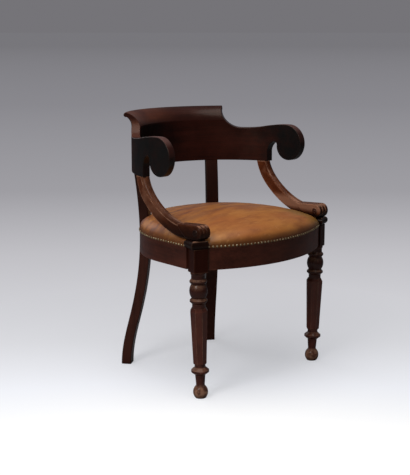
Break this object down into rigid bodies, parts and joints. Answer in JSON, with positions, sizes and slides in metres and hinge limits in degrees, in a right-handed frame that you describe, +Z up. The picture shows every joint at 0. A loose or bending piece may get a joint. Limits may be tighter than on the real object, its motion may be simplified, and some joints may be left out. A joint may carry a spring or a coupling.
{
  "type": "desk armchair",
  "caption": "Round-backed wooden desk armchair with scrolled arms, turned front legs, sabre back legs and a domed leather seat close-nailed with brass.",
  "frame": {"origin": "on the floor, under the middle of the chair's overall width and depth", "axes": "+Z up, the chair faces -Y, +X is the sitter's left"},
  "size_m": [0.5934, 0.5409, 0.784],
  "materials": {
    "mahogany": "dark red-brown, hand polished, worn lighter on edges",
    "beech": "raw, sawn",
    "steel": "plain, a little dulled",
    "webbing": "woven jute",
    "hessian": "coarse open weave",
    "stuffing": "matted fibre",
    "leather": "tan hide, waxed, mottled with age",
    "brass": "domed, softly tarnished"
  },
  "bodies": {
    "root": {"arm_dowels": "beech", "arm_left": "mahogany", "arm_right": "mahogany", "arm_support_left": "mahogany", "arm_support_right": "mahogany", "back_seat_rail": "mahogany", "back_stile_left": "mahogany", "back_stile_right": "mahogany", "brass_nails": "brass", "corner_block_back_left": "beech", "corner_block_back_right": "beech", "corner_block_front_left": "beech", "corner_block_front_right": "beech", "corner_block_screws": "steel", "crest_rail": "mahogany", "front_leg_left": "mahogany", "front_leg_right": "mahogany", "front_seat_rail": "mahogany", "hessian_base": "hessian", "leather_cover": "leather", "seat_stuffing": "stuffing", "side_seat_rail_left": "mahogany", "side_seat_rail_right": "mahogany", "volute_eyes": "mahogany", "webbing_cross": "webbing", "webbing_length": "webbing"}
  },
  "joints": []
}
